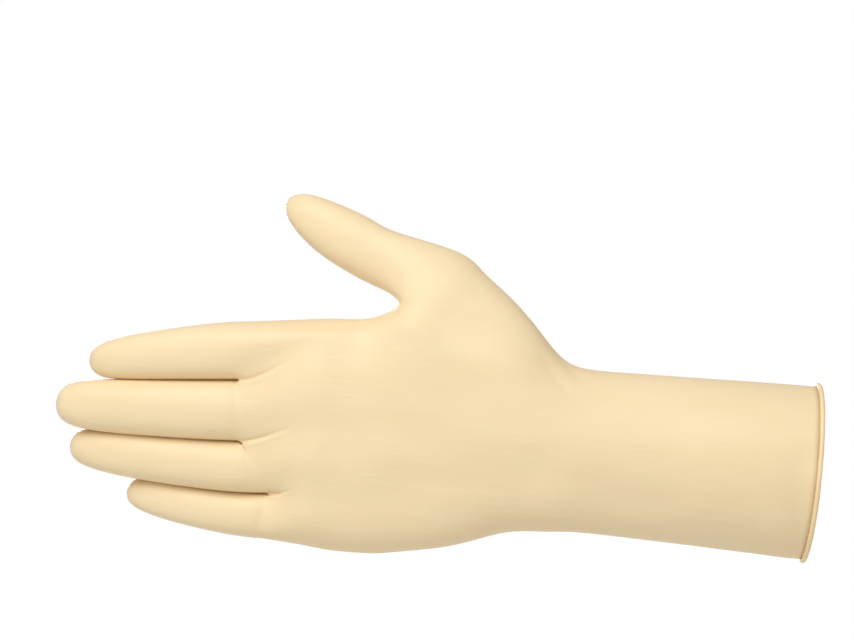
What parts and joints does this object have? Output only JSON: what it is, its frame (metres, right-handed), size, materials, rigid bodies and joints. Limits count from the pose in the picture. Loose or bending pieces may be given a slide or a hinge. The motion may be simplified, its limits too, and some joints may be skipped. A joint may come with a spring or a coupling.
{
  "type": "disposable exam glove, long cuff, left hand",
  "caption": "Thin left-hand exam glove in its worn form: closed thumb and four fingers, palm, wrist and a long straight cuff ending in a rolled bead.",
  "frame": {"origin": "centre of the cuff opening, inside the rolled bead", "axes": "+X out of the cuff, midway between the line of the fingers and that of the arm; +Z to the thumb side; -Y to the back of the hand, +Y to the palm"},
  "size_m": [0.3022, 0.0604, 0.1407],
  "materials": {
    "film": "smooth satin, natural cream, slightly translucent"
  },
  "bodies": {
    "root": {"glove": "film"}
  },
  "joints": []
}
